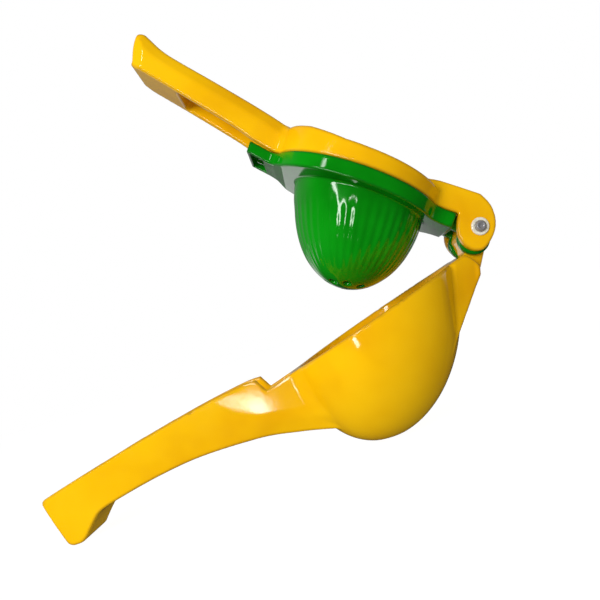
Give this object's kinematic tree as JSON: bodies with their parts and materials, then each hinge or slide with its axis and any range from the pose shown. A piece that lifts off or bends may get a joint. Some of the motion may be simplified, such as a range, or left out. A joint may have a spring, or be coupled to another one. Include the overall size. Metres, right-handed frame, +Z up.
{
  "type": "hinged lemon squeezer",
  "caption": "Hinged hand press for citrus: a bowl arm, a strainer bowl and a press-dome arm turning on one rivet.",
  "frame": {"origin": "centre of the standing press's footprint box, on the surface it stands on", "axes": "+X towards the hinge, along the arms; +Y along the rivet, away from the side shown; +Z up"},
  "size_m": [0.2076, 0.0724, 0.1867],
  "materials": {
    "yellow_enamel": "gloss",
    "green_enamel": "gloss",
    "rivet_steel": "satin",
    "washer_steel": "satin"
  },
  "bodies": {
    "lower_arm": {"lower_arm": "yellow_enamel"},
    "middle_bowl": {"middle_bowl": "green_enamel"},
    "upper_arm": {"upper_arm": "yellow_enamel", "hinge_rivet": "rivet_steel", "rivet_washers": "washer_steel"}
  },
  "joints": [
    {"name": "bowl_hinge", "type": "hinge", "parent": "lower_arm", "child": "middle_bowl", "pos_m": [0.09653, 0, 0.07011], "axis": [0, 1, 0], "range_deg": [-51, 25]},
    {"name": "press_hinge", "type": "hinge", "parent": "middle_bowl", "child": "upper_arm", "pos_m": [0.09653, 0, 0.07011], "axis": [0, 1, 0], "range_deg": [0, 40]}
  ]
}
